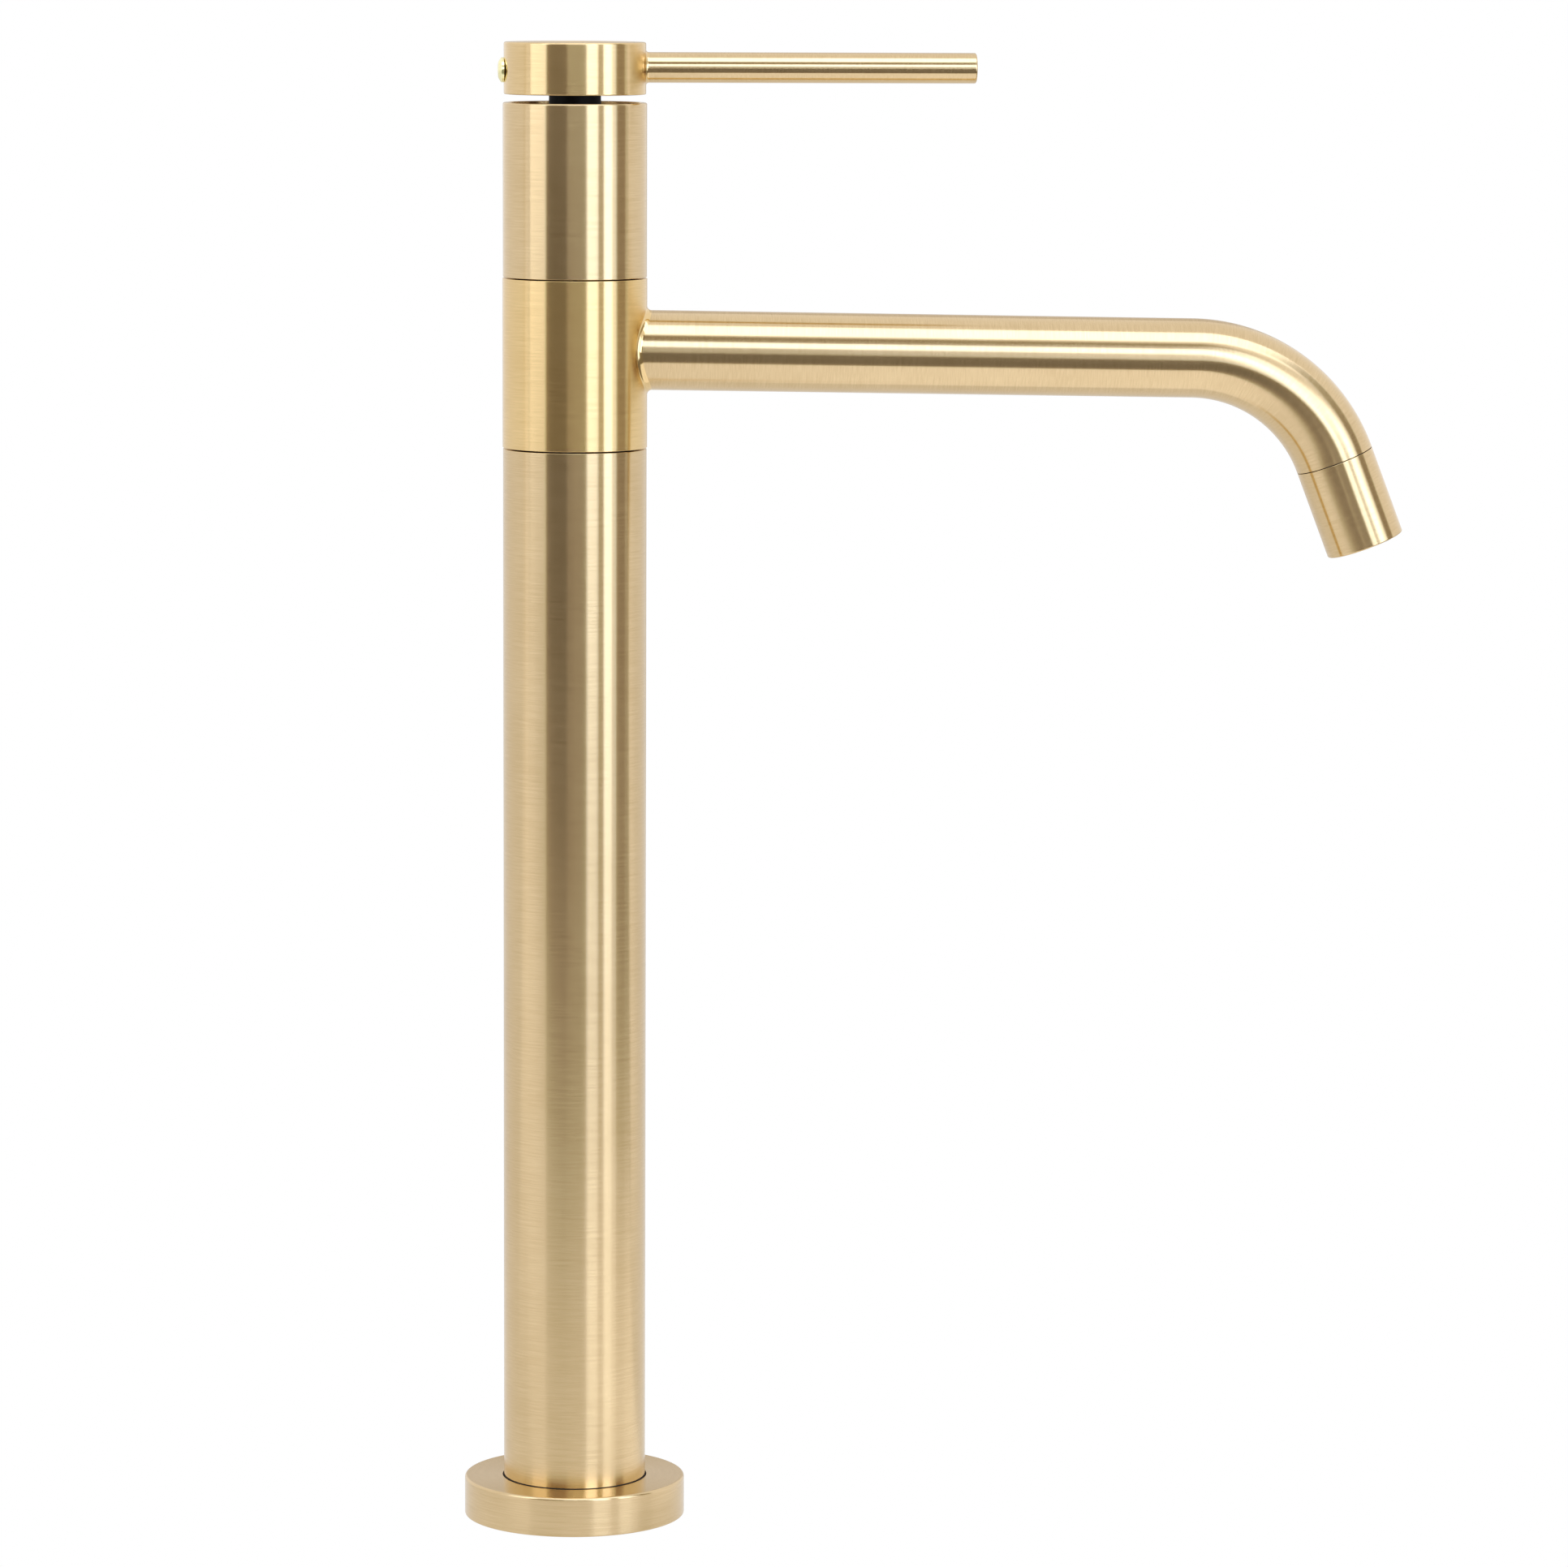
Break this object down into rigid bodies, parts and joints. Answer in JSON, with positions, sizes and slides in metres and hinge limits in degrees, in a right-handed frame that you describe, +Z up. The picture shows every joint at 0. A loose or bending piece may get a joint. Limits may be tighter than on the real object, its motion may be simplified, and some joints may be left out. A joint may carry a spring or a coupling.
{
  "type": "bathroom mixer faucet",
  "caption": "Tall single-lever basin mixer: slim round column on a low flange, long swivelling tube spout with a down-turned outlet and a disc-shaped lever cap, brushed gold.",
  "frame": {"origin": "on the column axis at deck level, centre of the mounting foot's flat underside", "axes": "+Z up along the column axis; spout and lever point along +X in the rest pose; the user's hot side is -Y and cold side +Y"},
  "size_m": [0.2382, 0.056, 0.3742],
  "materials": {
    "brushed_gold": "circumferentially brushed champagne-gold plating, satin",
    "polished_gold": "polished bright gold",
    "raw_brass": "machined",
    "copper": "drawn",
    "steel": "machined",
    "rubber": "moulded, matte",
    "dark_plastic": "moulded, satin",
    "white_plastic": "moulded, satin",
    "grey_plastic": "moulded, satin",
    "ceramic": "lapped"
  },
  "bodies": {
    "faucet_body": {"base_flange": "brushed_gold", "flange_gasket": "rubber", "mounting_foot": "raw_brass", "lower_column": "brushed_gold", "hot_supply_pipe": "copper", "cold_supply_pipe": "copper", "valve_body": "raw_brass", "lower_slide_ring": "white_plastic", "upper_slide_ring": "white_plastic", "lower_spindle_seal": "rubber", "upper_spindle_seal": "rubber", "upper_body": "brushed_gold", "cartridge_housing": "white_plastic", "cartridge_base": "white_plastic", "hot_inlet_seal": "rubber", "cold_inlet_seal": "rubber", "mixed_outlet_seal": "rubber", "fixed_disc": "ceramic", "retaining_nut": "raw_brass"},
    "spout": {"spout_ring": "brushed_gold", "spout_tube": "brushed_gold", "outlet_sleeve": "brushed_gold", "aerator_gasket": "rubber", "aerator_body": "grey_plastic", "aerator_screen": "steel"},
    "turret": {"cartridge_turret": "white_plastic", "pivot_pin": "steel"},
    "disc": {"moving_disc": "ceramic", "disc_carrier": "grey_plastic"},
    "handle": {"cartridge_stem": "raw_brass", "stem_bush": "dark_plastic", "handle_cap": "brushed_gold", "lever_rod": "brushed_gold", "grub_screw": "steel", "cap_plug": "polished_gold"}
  },
  "joints": [
    {"name": "spout_swivel", "type": "hinge", "parent": "faucet_body", "child": "spout", "pos_m": [0, 0, 0.29785], "axis": [0, 0, 1], "continuous": true},
    {"name": "mixing_turn", "type": "hinge", "parent": "faucet_body", "child": "turret", "pos_m": [0, 0, 0.3462], "axis": [0, 0, 1], "range_deg": [-45, 45]},
    {"name": "lever_lift", "type": "hinge", "parent": "turret", "child": "handle", "pos_m": [0, 0, 0.3462], "axis": [0, -1, 0], "range_deg": [0, 20]},
    {"name": "disc_slide", "type": "slide", "parent": "turret", "child": "disc", "axis": [1, 0, 0], "range_m": [0, 0.0044]}
  ],
  "couplings": [
    {"joint": "disc_slide", "follows": "lever_lift", "m_per_rad": 0.01235}
  ]
}
